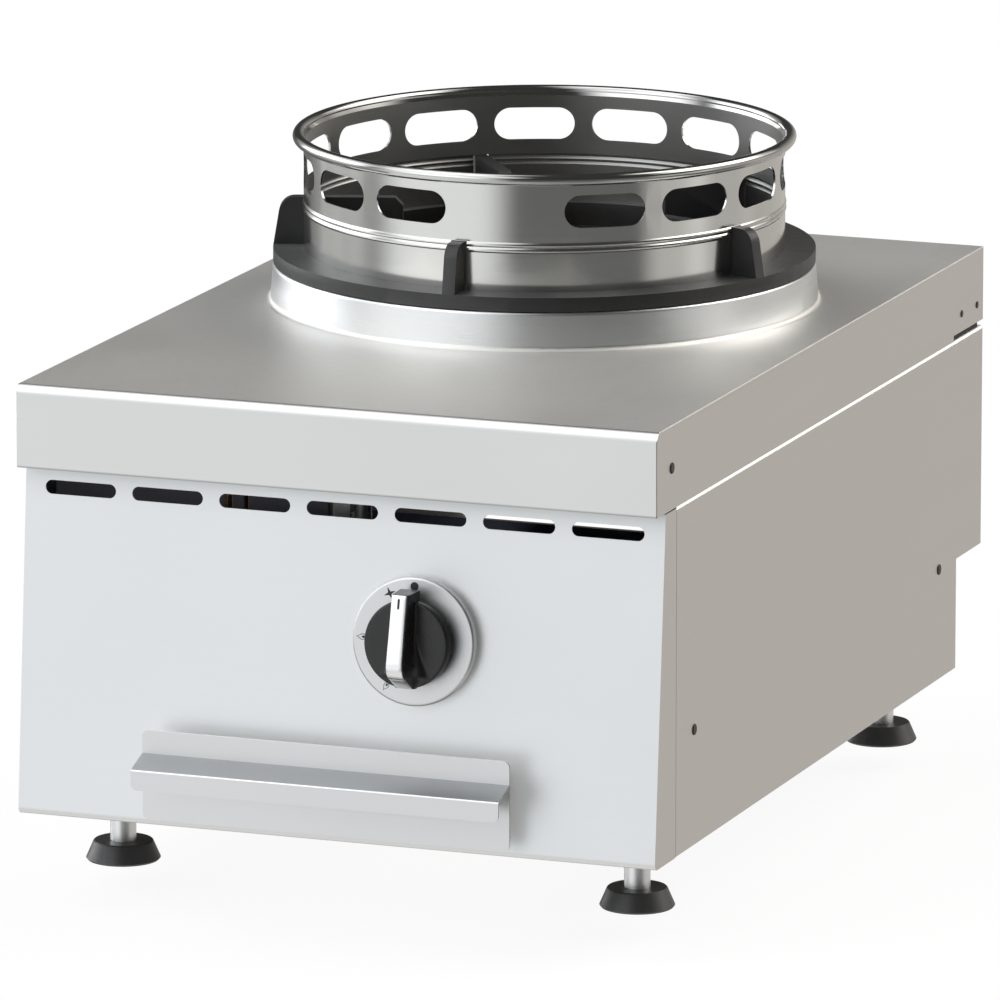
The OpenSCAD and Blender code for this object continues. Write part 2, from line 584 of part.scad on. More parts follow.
module spindle() {
  color([0.66, 0.66, 0.68]) tap() difference() {
    union() {
      translate([0, 0, -40]) cylinder(r = 4, h = 68, $fn = 64);
    }
    translate([0, 0, -41]) cylinder(r = 2.4, h = 17, $fn = 48);
    translate([3.4, -5, -41]) cube([5, 10, 25]);
    translate([2.6, -5, 12]) cube([5, 10, 20]);
  }
}
kb = 14.7;
// side outline of the grip: first number up the dial, second out of the panel
grip_face = concat([[30.2, 32.9]], [[-9.5, 38.9]], arc(-9.5 + 0.2, 38.9 - 9, 9, 92, 175, 6), [[-19.9, 24]]);
function inset(p) = [p[0] > 0 ? p[0] : p[0] + (p[0] < -15 ? 0.8 : 0), p[1] - (p[0] < -15 ? 0 : 0.8)];
module knob() {
  color([0.07, 0.07, 0.07]) tap() difference() {
    union() {
      translate([0, 0, kb]) rotate_extrude($fn = 96) polygon(concat([[0, 0], [knob_r - 0.4, 0]], [[knob_r, 0.4], [knob_r, 4.6]], arc(knob_r - 1, 4.6, 1, 0, 90, 4), [[0, 6.0]]));
      intersection() {
        rotate([90, 0, 90]) linear_extrude(height = 30, center = true)
          polygon(concat([[31.6, kb]], [[30.2, 32.1]], [[-9.5, 38.1]], arc(-9.3, 29.9, 8.2, 92, 175, 6), [[-22.5, 20], [-22.5, kb]]));
        rotate([90, 0, 0]) linear_extrude(height = 90, center = true) polygon([[-6, kb], [6, kb], [4.6, 39.6], [-4.6, 39.6]]);
      }
    }
    translate([0, 0, kb - 1]) difference() {
      cylinder(r = 4.02, h = 14.6, $fn = 64);
      translate([2.62, -5, -1]) cube([5, 10, 20]);
    }
    // hollow back round the hub
    translate([0, 0, kb - 1]) difference() { cylinder(r = knob_r - 2, h = 4.5, $fn = 96); cylinder(r = 7, h = 6, $fn = 48); blk([-5.5, 0, -1], [5.5, 40, 10]); }
  }
}
module knob_insert() {
  color([0.80, 0.80, 0.80]) tap() intersection() {
    rotate([90, 0, 90]) linear_extrude(height = 9.3, center = true)
      polygon(concat([[30.2, 32.15]], [[30.2, 32.95]], [[-9.5, 38.95]], arc(-9.3, 29.9, 9.05, 92, 175, 6), rev(arc(-9.3, 29.9, 8.25, 92, 175, 6)), [[-9.5, 38.15]]));
    translate([0, 0, 20]) linear_extrude(height = 30) round_rect(9.3, 90, 0.5);
  }
}
module knob_dial() {
  color([0.75, 0.75, 0.76]) tap() rotate_extrude($fn = 144) difference() {
    polygon(concat([[9, 0.05], [dial_r - 1.3, 0.05]], arc(dial_r - 1.8, dial_h - 1.8, 1.8, 0, 90, 6), [[9, dial_h]]));
    polygon([[8, -1], [dial_r - 2, -1], [dial_r - 2, dial_h - 3], [dial_r - 3, dial_h - 2], [8, dial_h - 2]]);
  }
}

// ---------------------------------------------------------------- drip tray
py0 = yf - 15.5 + 1.2;      // back of the tray's front plate
module drip_tray() {
  color([0.74, 0.74, 0.73]) difference() {
    blk([-pan_x, py0, 51.5], [pan_x, y_low - 30, 92]);
    blk([-pan_x + 1, py0 + 1, 52.5], [pan_x - 1, y_low - 31, 93]);
  }
}
module tray_front() {
  color([0.78, 0.78, 0.78]) translate([0, py0, (48.3 + 102.3) / 2]) rotate([90, 0, 0])
    linear_extrude(height = 1.2) round_rect(2 * front_x, 54, 4);
}
module tray_handle() {
  y1 = yf - 15.5;
  y2 = yf - lip_out;
  color([0.82, 0.82, 0.82]) {
    difference() {
      rotate([90, 0, 90]) linear_extrude(height = 2 * front_x, center = true)
        polygon([[y1, 88.3], [y2 + 0.6, 82.2], [y2, 81.5], [y2, 69.9], [y2 + 1.2, 69.9], [y2 + 1.2, 80.9], [y1, 86.95]]);
      // rounded lower corners of the lip
      for (k = [-1, 1]) translate([k * (front_x - 4), y2 - 1, 73.9]) rotate([-90, 0, 0]) difference() {
        translate([k > 0 ? 0 : -5, 0, 0]) cube([5, 5, 3]);
        translate([0, 0, -1]) cylinder(r = 4, h = 6, $fn = 32);
      }
    }
  }
}

// ---------------------------------------------------------------- fasteners
module pan_screw(x, y, z, k, r, h, rs, ls) {
  translate([x, y, z]) rotate([0, k * 90, 0]) {
    rotate_extrude($fn = 48) polygon(concat([[0, 0], [r, 0]], arc(r - h, 0, h, 0, 90, 5), [[0, h]]));
    translate([0, 0, -ls]) cylinder(r = rs, h = ls + 0.1, $fn = 24);
  }
}
module side_screws() {
  color([0.75, 0.75, 0.74]) for (k = [-1, 1]) {
    pan_screw(k * hw, yf + 65.1, z0 - 139.4, k, 3.4, 0.7, 1.9, 7);
    pan_screw(k * hw, yf + 516.3, z0 - 139, k, 3.4, 0.7, 1.9, 7);
  }
}
module apron_screws() {
  color([0.75, 0.75, 0.74]) for (k = [-1, 1]) pan_screw(k * hw, yf + 24.9, z0 + 24.7, k, 3.4, 0.7, 1.9, 6);
}
module rear_rivets() {
  color([0.72, 0.72, 0.71]) for (k = [-1, 1], y = [557, 587.2]) pan_screw(k * hw, yf + y, z0 + 14.9, k, 2.3, 0.5, 1.6, 5);
}

// white silicone strips in the gap between the side panels and the worktop
module worktop_seals() {
  color([0.93, 0.93, 0.92]) pair() blk([hw - 8, yf + 34, z0 - 2.05], [hw - 0.3, y_up - 0.2, z0 - 0.05]);
}

// ---------------------------------------------------------------- pan support
module fin2d() {
  r = iron_r;
  b = iron_top;
  polygon(concat(
    [[r - 0.1, iron_z + 1], [r - 0.1, b]],
    arc(r - 13, fin_top - 9.5, 9.5, 12, 90, 7),
    [[90.7, fin_top], [86, fin_top - 4.7], [86, iron_z + 16], [96, iron_z + 2], [120, iron_z - 6], [140, iron_z - 6], [140, iron_z + 1]]));
}
module pan_support() {
  color([0.16, 0.16, 0.17]) translate([0, yb, 0]) union() {
    rotate_extrude($fn = 180) polygon([[138, iron_z - 6], [146.9, iron_z - 6], [146.9, iron_z], [iron_r, iron_z], [iron_r, iron_top], [138, iron_top]]);
    for (a = [-90:72:260]) rotate([0, 0, a]) rotate([90, 0, 0]) linear_extrude(height = fin_t, center = true) fin2d();
  }
}

// ---------------------------------------------------------------- wok ring
zb1 = ztop + 55.3;
function bump(z) = z < zb1 ? 0 : z > zb1 + 6.6 ? 0 : 0.75 * abs(sin((z - zb1) / 3.3 * 180));
module wok_ring2d() {
  zs = concat([ring_z], [for (i = [0:8]) zb1 + 6.6 * i / 8]);
  a = [for (z = zs) [ring_r + bump(z), z]];
  b = [for (z = zs) [ring_r - ring_t + bump(z), z]];
  cx = ring_r + 3.1;
  polygon(concat(
    a, [[ring_r, roll_z - 2.2], [cx - roll_r + ring_t, roll_z]],
    rev(arc(cx, roll_z, roll_r - ring_t, -105, 180, 16)),
    arc(cx, roll_z, roll_r, -105, 180, 20),
    [[ring_r - ring_t, roll_z - 2.2]], rev(b)));
}
module wok_ring() {
  color([0.74, 0.73, 0.71]) translate([0, yb, 0]) difference() {
    rotate_extrude($fn = 180) wok_ring2d();
    for (k = [1:14]) rotate([0, 0, -79.2 + 24 * k]) translate([ring_r - 12, 0, ztop + 80.7]) rotate([90, 0, 90]) linear_extrude(height = 24) stadium(slot_w, slot_h);
    for (a = [-90:72:260]) rotate([0, 0, a]) blk([ring_r - 12, -fin_t / 2 - 1, ring_z - 2], [ring_r + 12, fin_t / 2 + 1, fin_top + 0.3]);
  }
}

// ---------------------------------------------------------------- feet
module foot_pad(x, y) {
  color([0.09, 0.09, 0.09]) translate([x, y, 0]) rotate_extrude($fn = 96)
    polygon([[0, 0], [foot_r - 1, 0], [foot_r, 1.2], [17.95, 11.2], [17.3, 11.8], [stem_r + 0.06, 11.8], [stem_r + 0.06, 4], [0, 4]]);
}
module foot_stem(x, y) {
  color([0.70, 0.70, 0.70]) translate([x, y, 0]) {
    translate([0, 0, 4.05]) cylinder(r = stem_r, h = z_bot - 2.65, $fn = 64);
    translate([0, 0, z_bot + 1]) cylinder(r = 5, h = 29, $fn = 64);
  }
}
module foot_pad_fl() { foot_pad(-foot_x, foot_yf); }
module foot_pad_fr() { foot_pad(foot_x, foot_yf); }
module foot_pad_rl() { foot_pad(-foot_x, foot_yr); }
module foot_pad_rr() { foot_pad(foot_x, foot_yr); }
module foot_stem_fl() { foot_stem(-foot_x, foot_yf); }
module foot_stem_fr() { foot_stem(foot_x, foot_yf); }
module foot_stem_rl() { foot_stem(-foot_x, foot_yr); }
module foot_stem_rr() { foot_stem(foot_x, foot_yr); }

worktop();
front_panel();
side_panel_left();
side_panel_right();
rear_panel();
base_frame_front();
base_frame_rear();
foot_nuts();
tray_rail_left();
tray_rail_right();
front_brackets();
rear_brackets();
heat_shield();
burner_bridge();
burner_body();
burner_screws();
injector_holder();
injector();
air_shutter();
shutter_screw();
flame_spreader();
burner_cap();
pilot_burner();
thermocouple();
thermocouple_lead();
pilot_pipe();
burner_pipe();
gas_pipe();
inlet_fitting();
inlet_locknut();
valve_bracket();
valve_bonnet();
valve_body();
valve_screws();
valve_plug();
valve_spring();
safety_magnet();
spindle();
knob();
knob_insert();
knob_dial();
drip_tray();
tray_front();
tray_handle();
side_screws();
apron_screws();
rear_rivets();
worktop_seals();
pan_support();
wok_ring();
foot_pad_fl();
foot_pad_fr();
foot_pad_rl();
foot_pad_rr();
foot_stem_fl();
foot_stem_fr();
foot_stem_rl();
foot_stem_rr();
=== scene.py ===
import json
import math
import bpy
import bmesh
from mathutils import Matrix, Vector


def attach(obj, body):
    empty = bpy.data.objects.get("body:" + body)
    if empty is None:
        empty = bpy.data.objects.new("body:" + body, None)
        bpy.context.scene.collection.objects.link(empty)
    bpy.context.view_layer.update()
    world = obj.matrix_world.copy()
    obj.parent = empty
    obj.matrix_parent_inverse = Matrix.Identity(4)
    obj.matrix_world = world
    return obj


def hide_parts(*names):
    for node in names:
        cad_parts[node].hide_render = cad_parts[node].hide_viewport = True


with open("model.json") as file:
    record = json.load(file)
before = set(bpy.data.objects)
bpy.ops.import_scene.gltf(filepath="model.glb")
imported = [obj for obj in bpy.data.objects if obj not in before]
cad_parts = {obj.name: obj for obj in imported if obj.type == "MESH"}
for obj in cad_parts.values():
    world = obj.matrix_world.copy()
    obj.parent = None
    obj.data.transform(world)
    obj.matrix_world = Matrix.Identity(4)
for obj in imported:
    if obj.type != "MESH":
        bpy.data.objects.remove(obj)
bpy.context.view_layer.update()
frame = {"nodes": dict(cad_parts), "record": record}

N = frame["nodes"]
SC = bpy.context.scene

# ------------------------------------------------------------------ camera
AZ, EL = math.radians(20.558), math.radians(12.353)
BACK = Vector((math.sin(AZ) * math.cos(EL), -math.cos(AZ) * math.cos(EL), math.sin(EL)))
cam = bpy.data.objects.new("cam", bpy.data.cameras.new("cam"))
SC.collection.objects.link(cam)
cam.data.lens = 415.07
cam.data.sensor_width = 36.0
cam.data.clip_start, cam.data.clip_end = 0.1, 200.0
cam.location = (2.39156, -6.38418, 1.68082)
cam.rotation_mode = "QUATERNION"
cam.rotation_quaternion = (-BACK).to_track_quat("-Z", "Y")
SC.camera = cam
SC.view_settings.view_transform = "Standard"

# ------------------------------------------------------------------ materials
class NT:
    """Small helper round a material's node tree."""

    def __init__(self, name):
        self.m = bpy.data.materials.new(name)
        self.m.use_nodes = True
        self.t = self.m.node_tree
        self.t.nodes.clear()
        self.out = self.t.nodes.new("ShaderNodeOutputMaterial")
        self.b = self.t.nodes.new("ShaderNodeBsdfPrincipled")
        self.t.links.new(self.b.outputs["BSDF"], self.out.inputs["Surface"])

    def n(self, kind, **kw):
        x = self.t.nodes.new(kind)
        for k, v in kw.items():
            setattr(x, k, v)
        return x

    def link(self, a, b):
        self.t.links.new(a, b)

    def coords(self, scale=(1, 1, 1), rot=(0, 0, 0)):
        tc = self.n("ShaderNodeTexCoord")
        mp = self.n("ShaderNodeMapping")
        mp.inputs["Scale"].default_value = scale
        mp.inputs["Rotation"].default_value = rot
        self.link(tc.outputs["Object"], mp.inputs["Vector"])
        return mp.outputs["Vector"]

    def noise(self, vec, scale=1.0, detail=4.0, rough=0.55, dist=0.0):
        x = self.n("ShaderNodeTexNoise")
        x.inputs["Scale"].default_value = scale
        x.inputs["Detail"].default_value = detail
        x.inputs["Roughness"].default_value = rough
        x.inputs["Distortion"].default_value = dist
        self.link(vec, x.inputs["Vector"])
        return x.outputs["Fac"]

    def ramp(self, fac, stops):
        x = self.n("ShaderNodeValToRGB")
        e = x.color_ramp.elements
        while len(e) < len(stops):
            e.new(0.5)
        for el, (p, c) in zip(e, stops):
            el.position = p
            el.color = (*c, 1.0) if len(c) == 3 else c
        self.link(fac, x.inputs["Fac"])
        return x.outputs["Color"]

    def mrange(self, v, a, b, c, d):
        x = self.n("ShaderNodeMapRange")
        for k, q in zip(("From Min", "From Max", "To Min", "To Max"), (a, b, c, d)):
            x.inputs[k].default_value = q
        self.link(v, x.inputs["Value"])
        return x.outputs["Result"]

    def mix(self, fac, a, b, blend="MIX"):
        x = self.n("ShaderNodeMix", data_type="RGBA", blend_type=blend)
        if isinstance(fac, float):
            x.inputs["Factor"].default_value = fac
        else:
            self.link(fac, x.inputs["Factor"])
        for k, q in (("A", a), ("B", b)):
            s = [i for i in x.inputs if i.name == k and i.type == "RGBA"][0]
            if isinstance(q, tuple):
                s.default_value = (*q, 1.0)
            else:
                self.link(q, s)
        return [o for o in x.outputs if o.type == "RGBA"][0]

    def math(self, op, a, b=None):
        x = self.n("ShaderNodeMath", operation=op)
        for i, q in enumerate((a, b)):
            if q is None:
                continue
            if isinstance(q, (int, float)):
                x.inputs[i].default_value = q
            else:
                self.link(q, x.inputs[i])
        return x.outputs[0]

    def bump(self, height, strength, dist):
        x = self.n("ShaderNodeBump")
        x.inputs["Strength"].default_value = strength
        x.inputs["Distance"].default_value = dist
        self.link(height, x.inputs["Height"])
        self.link(x.outputs["Normal"], self.b.inputs["Normal"])

    def edge(self, lo=0.52, hi=0.62):
        """Edges from the mesh's own pointiness, for wear and for a painted highlight where edges catch light."""
        g = self.n("ShaderNodeNewGeometry")
        return self.mrange(g.outputs["Pointiness"], lo, hi, 0.0, 1.0)


def steel(name, base, rough, along="X", metal=1.0, grain=0.06, blotch=0.04, bump=0.05, rvar=0.05, shade=None):
    """Ground sheet. The optional last argument is painted shade: (lowest z, highest z, stops), how much darker the
    sheet is painted between those heights, for the shade that falls along a fold.
    """
    k = NT(name)
    fine = {"X": (6, 900, 900), "Y": (900, 6, 900), "Z": (900, 900, 6), "R": (5, 5, 1100), "N": (700, 700, 700)}[along]
    mid = {"X": (2.5, 160, 160), "Y": (160, 2.5, 160), "Z": (160, 160, 2.5), "R": (2, 2, 220), "N": (120, 120, 120)}[along]
    lines = k.noise(k.coords(fine), 1.0, 3.0, 0.6)
    lines2 = k.noise(k.coords(mid), 1.0, 4.0, 0.6)
    cloud = k.noise(k.coords((1, 1, 1)), 5.0, 3.0, 0.5)
    both = k.math("ADD", k.math("MULTIPLY", lines, 0.6), k.math("MULTIPLY", lines2, 0.4))
    lo = tuple(c * (1 - grain) for c in base)
    hi = tuple(min(1.0, c * (1 + grain)) for c in base)
    col = k.ramp(both, [(0.30, lo), (0.70, hi)])
    c2 = k.ramp(cloud, [(0.3, (1 - blotch,) * 3), (0.7, (1 + 0 * blotch,) * 3)])
    col = k.mix(1.0, col, c2, "MULTIPLY")
    # painted shade: the colour is multiplied darker between two heights of the object
    if shade:
        z0, z1, stops = shade
        sp = k.n("ShaderNodeSeparateXYZ")
        k.link(k.coords(), sp.inputs[0])
        up = k.mrange(sp.outputs["Z"], z0, z1, 0.0, 1.0)
        col = k.mix(1.0, col, k.ramp(up, [(q, (v,) * 3) for q, v in stops]), "MULTIPLY")
    k.link(col, k.b.inputs["Base Color"])
    r1 = k.mrange(both, 0.3, 0.7, rough - rvar, rough + rvar)
    r2 = k.mrange(cloud, 0.3, 0.7, -0.03, 0.03)
    k.link(k.math("ADD", r1, r2), k.b.inputs["Roughness"])
    k.b.inputs["Metallic"].default_value = metal
    k.bump(both, bump, 0.0004)
    return k.m


def cast(name, base, rough=0.62, lift=0.02, grain=420.0, bump=0.35, metal=0.0, spec=0.6):
    k = NT(name)
    g = k.noise(k.coords(), grain, 4.0, 0.65)
    big = k.noise(k.coords(), 26.0, 4.0, 0.6)
    lo = base
    hi = tuple(c * 1.45 + lift for c in base)
    col = k.ramp(big, [(0.3, lo), (0.75, hi)])
    # lighter along sharp edges: partly wear, partly painted highlight
    edge_wear_and_highlight = k.mix(k.math("MULTIPLY", k.edge(), 0.5), col, tuple(c * 1.3 + 0.05 for c in base))
    k.link(edge_wear_and_highlight, k.b.inputs["Base Color"])
    k.link(k.mrange(g, 0.3, 0.7, rough - 0.05, rough + 0.05), k.b.inputs["Roughness"])
    k.b.inputs["Metallic"].default_value = metal
    k.b.inputs["Specular IOR Level"].default_value = spec
    k.bump(g, bump, 0.0005)
    return k.m


def plain(name, base, rough, spec=0.5, metal=0.0, speck=0.12, scale=300.0, bump=0.06, coat=0.0):
    k = NT(name)
    g = k.noise(k.coords(), scale, 3.0, 0.6)
    big = k.noise(k.coords(), 40.0, 3.0, 0.5)
    lo = tuple(c * (1 - speck) for c in base)
    hi = tuple(min(1.0, c * (1 + speck)) for c in base)
    k.link(k.ramp(big, [(0.3, lo), (0.7, hi)]), k.b.inputs["Base Color"])
    k.link(k.mrange(g, 0.3, 0.7, rough - 0.05, rough + 0.05), k.b.inputs["Roughness"])
    k.b.inputs["Metallic"].default_value = metal
    k.b.inputs["Specular IOR Level"].default_value = spec
    k.b.inputs["Coat Weight"].default_value = coat
    k.b.inputs["Coat Roughness"].default_value = 0.12
    k.bump(g, bump, 0.0003)
    return k.m


ZA = 0.2502  # lower edge of the apron
M = {
    "stainless_top": steel("m_top", (0.84, 0.832, 0.804), 0.54, "N", grain=0.035, blotch=0.02, bump=0.03, rvar=0.03),
    # front panel: painted shade under the apron's lower edge, darkest at ZA and fading out over 22 mm downwards
    "stainless_front": steel("m_front", (0.80, 0.815, 0.82), 0.40, "X", grain=0.012, blotch=0.012, bump=0.015, rvar=0.03,
                             shade=(ZA - 0.022, ZA, [(0.0, 1.0), (0.36, 0.96), (0.64, 0.90), (0.80, 0.84), (0.89, 0.77),
                                                    (0.945, 0.69), (0.973, 0.60), (1.0, 0.46)])),
    "stainless_side": steel("m_side", (0.72, 0.70, 0.672), 0.40, "Y", grain=0.015, blotch=0.015, bump=0.015, rvar=0.03),
    "stainless_ring": steel("m_ring", (0.66, 0.66, 0.64), 0.15, "R", grain=0.012, blotch=0.015, bump=0.008, rvar=0.015),
    "plated_sheet": steel("m_plated", (0.42, 0.42, 0.43), 0.42, "N", grain=0.12, blotch=0.15),
    "dark_paint": plain("m_dark", (0.013, 0.013, 0.014), 0.5, spec=0.3),
    "cast_iron": cast("m_iron", (0.0095, 0.0097, 0.0100), rough=0.44, lift=0.001, bump=0.12, spec=0.6),
    "black_enamel": plain("m_enamel", (0.012, 0.012, 0.013), 0.22, coat=0.5),
    "brass": steel("m_brass", (0.74, 0.54, 0.24), 0.30, "N", grain=0.08, blotch=0.12),
    "copper": steel("m_copper", (0.62, 0.33, 0.21), 0.34, "N", grain=0.08, blotch=0.15),
    "rubber": plain("m_rubber", (0.056, 0.056, 0.0565), 0.40, spec=0.5, speck=0.2, bump=0.2),
    "white_seal": plain("m_seal", (0.90, 0.90, 0.885), 0.45, speck=0.03),
    "black_plastic": plain("m_plastic", (0.017, 0.017, 0.0175), 0.30, spec=0.5, speck=0.04, bump=0.015),
    "silver_trim": steel("m_trim", (0.88, 0.885, 0.89), 0.24, "N", grain=0.02, blotch=0.01, rvar=0.02),
    "silver_dial": steel("m_dial", (0.71, 0.715, 0.72), 0.38, "N", grain=0.03, blotch=0.02),
}
# inner faces and parts inside the body: painted shade, a dark bluish tone for the shade within
INSIDE_SHADE = steel("m_inside_painted_shade", (0.084, 0.089, 0.122), 0.45, "N", grain=0.1, blotch=0.15)
COLLAR = steel("m_collar", (0.792, 0.805, 0.808), 0.30, "R", grain=0.02, blotch=0.015, bump=0.02, rvar=0.02)
# apron: painted shade along its lowest 1.4 mm, darkest at the lower edge
APRON = steel("m_apron", (0.762, 0.767, 0.760), 0.40, "X", grain=0.012, blotch=0.012, bump=0.015, rvar=0.03,
              shade=(ZA, ZA + 0.0014, [(0.0, 0.42), (0.4, 0.66), (0.8, 0.92), (1.0, 1.0)]))
TRAY = steel("m_tray", (0.735, 0.74, 0.742), 0.38, "X", grain=0.012, blotch=0.012, bump=0.015, rvar=0.03)
TRAY_EDGE = plain("m_tray_edge", (0.74, 0.74, 0.735), 0.42, metal=0.35, speck=0.02)
# back of the tray plate: painted light, a pale base and a faint glow that lighten the shade behind the plate
TRAY_BACK_GLOW = plain("m_tray_back_painted_glow", (0.88, 0.88, 0.875), 0.45, speck=0.02)
glow = TRAY_BACK_GLOW.node_tree.nodes["Principled BSDF"]
glow.inputs["Emission Color"].default_value = (1.0, 1.0, 0.99, 1.0)
glow.inputs["Emission Strength"].default_value = 0.30
# top of the tray's ledge: painted shade, a darker copy of the tray's steel
LEDGE_SHADE = steel("m_ledge_painted_shade", (0.375, 0.386, 0.398), 0.42, "X", grain=0.015, blotch=0.015, bump=0.015, rvar=0.03)
# inner wall of the wok ring: painted shade, a darker copy of the ring's steel
RING_INNER_SHADE = steel("m_ring_inner_painted_shade", (0.37, 0.37, 0.36), 0.38, "R", grain=0.03, blotch=0.03, bump=0.01, rvar=0.02)
# rim of the wok ring: a smoother polish, and painted shade in its tone, darker than the ring's steel
RIM_POLISH_SHADE = steel("m_rim_polish_painted_shade", (0.52, 0.52, 0.505), 0.09, "R", grain=0.01, blotch=0.01, bump=0.004, rvar=0.01)
IRON_TOP = cast("m_iron_top", (0.048, 0.0485, 0.048), rough=0.50, lift=0.003, bump=0.12, spec=0.75)
# dial's side wall: painted light, a faint glow that lightens the wall and the shade beside it
DIAL_WALL_GLOW = plain("m_dial_edge_painted_glow", (0.72, 0.72, 0.72), 0.45, metal=0.2, speck=0.03)
glow = DIAL_WALL_GLOW.node_tree.nodes["Principled BSDF"]
glow.inputs["Emission Color"].default_value = (1.0, 1.0, 1.0, 1.0)
glow.inputs["Emission Strength"].default_value = 0.07
STEM = steel("m_stem", (0.96, 0.96, 0.965), 0.42, "N", grain=0.05, blotch=0.05)
SCREW = steel("m_screw", (0.045, 0.043, 0.042), 0.34, "N", grain=0.15, blotch=0.1)
PRINT = plain("m_print", (0.02, 0.02, 0.022), 0.45)
# outer faces of the worktop seals: painted light, a glow that keeps the white seal bright in the shaded gap
SEAL_FACE_GLOW = plain("m_seal_face_painted_glow", (0.90, 0.90, 0.885), 0.45, speck=0.03)
glow = SEAL_FACE_GLOW.node_tree.nodes["Principled BSDF"]
glow.inputs["Emission Color"].default_value = (1.0, 1.0, 0.985, 1.0)
glow.inputs["Emission Strength"].default_value = 0.55
SLOT = {s["node"]: s["material_slot"] for s in frame["record"]["subparts"]}


def paint(o, mat):
    o.data.materials.clear()
    o.data.materials.append(mat)
    for p in o.data.polygons:
        p.material_index = 0


for name, o in N.items():
    paint(o, M[SLOT[name]])


def part_paint(name, mat, test):
    """Another material on the faces of a CAD piece that a test of (centre, normal) picks: a finish of its own, painted
    shade or a painted glow.
    """
    o = N[name]
    o.data.materials.append(mat)
    k = len(o.data.materials) - 1
    for p in o.data.polygons:
        if test(p.center, p.normal):
            p.material_index = k


part_paint("worktop", COLLAR, lambda c, n: c.z > 0.3022 and n.z > -0.5)
part_paint("worktop", INSIDE_SHADE, lambda c, n: n.z < -0.5 and c.z > 0.256)
part_paint("worktop", APRON, lambda c, n: n.y < -0.15 and n.z > -0.5 and c.z < 0.3003)
part_paint("worktop", M["stainless_side"], lambda c, n: abs(n.x) > 0.7 and c.z < 0.3003 and abs(c.x) > 0.199)
# painted light on the seals' outer faces
part_paint("worktop_seals", SEAL_FACE_GLOW, lambda c, n: n.x * c.x > 0.5 * abs(c.x))
# painted shade on the inward faces of the panels
part_paint("side_panel_left", INSIDE_SHADE, lambda c, n: n.x > 0.5)
part_paint("side_panel_right", INSIDE_SHADE, lambda c, n: n.x < -0.5)
part_paint("rear_panel", INSIDE_SHADE, lambda c, n: n.y < -0.5)
part_paint("front_panel", INSIDE_SHADE, lambda c, n: n.y > 0.5)
part_paint("front_panel", M["stainless_side"], lambda c, n: n.x * c.x > 0.7 * abs(c.x) and abs(c.x) > 0.19)
part_paint("pan_support", IRON_TOP, lambda c, n: n.z > 0.9 and c.z < 0.345)
# painted light on the dial's side wall
part_paint("knob_dial", DIAL_WALL_GLOW, lambda c, n: abs(n.z * math.sin(0.0824) - n.y * math.cos(0.0824)) < 0.4)
part_paint("wok_ring", RIM_POLISH_SHADE, lambda c, n: c.z > 0.39705)
part_paint("wok_ring", RING_INNER_SHADE, lambda c, n: n.x * c.x + n.y * (c.y - 0.0696) < -0.3 * math.hypot(c.x, c.y - 0.0696) and c.z < 0.3990)
for name in ("tray_front", "tray_handle"):
    paint(N[name], TRAY)
    part_paint(name, TRAY_EDGE, lambda c, n: abs(n.x) > 0.5 or n.y > 0.5)
# painted light on the back faces of the tray plate
part_paint("tray_front", TRAY_BACK_GLOW, lambda c, n: n.y > 0.5)
# painted shade on the ledge's upward faces
part_paint("tray_handle", LEDGE_SHADE, lambda c, n: n.z > 0.85)
for name in [q for q in N if q.startswith("foot_stem")]:
    paint(N[name], STEM)
for name in ("side_screws", "apron_screws", "rear_rivets"):
    paint(N[name], SCREW)
# parts inside the body: painted shade
for name in ("heat_shield", "burner_bridge", "tray_rail_left", "tray_rail_right", "valve_bracket", "front_brackets"):
    paint(N[name], INSIDE_SHADE)


def soften(name, width, limit=32.0, seg=3):
    """A small radius along the sharp edges of a CAD piece."""
    o = N[name]
    w = o.modifiers.new("weld", "WELD")
    w.merge_threshold = 0.00002
    b = o.modifiers.new("bevel", "BEVEL")
    b.width, b.segments, b.limit_method, b.angle_limit = width, seg, "ANGLE", math.radians(limit)
    b.use_clamp_overlap = True
    b.harden_normals = False
    b.miter_outer = "MITER_ARC"


for name, w in (("pan_support", 0.0009), ("tray_front", 0.00055), ("tray_handle", 0.00055), ("burner_cap", 0.0008),
                ("valve_body", 0.0005), ("inlet_fitting", 0.0003)):
    soften(name, w)

# ------------------------------------------------------------------ pieces in finer mesh
TILT = math.radians(4.72)
ORI = Vector((0.0494, -0.275112, 0.164532))
AX = (Vector((1, 0, 0)), Vector((0, math.sin(TILT), math.cos(TILT))), Vector((0, -math.cos(TILT), math.sin(TILT))))


def tap(x, y, z):
    """Millimetres over the dial: right, up the panel, out of the panel."""
    return ORI + (AX[0] * x + AX[1] * y + AX[2] * z) * 0.001


def build(name, verts, faces, mat, body, sharp=None, replaces=()):
    me = bpy.data.meshes.new(name)
    bm = bmesh.new()
    vs = [bm.verts.new(v) for v in verts]
    for f in faces:
        try:
            bm.faces.new([vs[i] for i in f])
        except ValueError:
            pass
    bmesh.ops.remove_doubles(bm, verts=bm.verts, dist=0.000004)
    bmesh.ops.dissolve_degenerate(bm, edges=bm.edges, dist=0.000003)
    bmesh.ops.recalc_face_normals(bm, faces=bm.faces)
    lim = math.radians(sharp if sharp else 40)
    for f in bm.faces:
        f.smooth = True
    for e in bm.edges:
        if len(e.link_faces) == 2 and e.calc_face_angle(0) > lim:
            e.smooth = False
    bm.to_mesh(me)
    bm.free()
    o = bpy.data.objects.new(name, me)
    SC.collection.objects.link(o)
    me.materials.append(mat)
    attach(o, body)
    if replaces:
        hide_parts(*replaces)
    return o


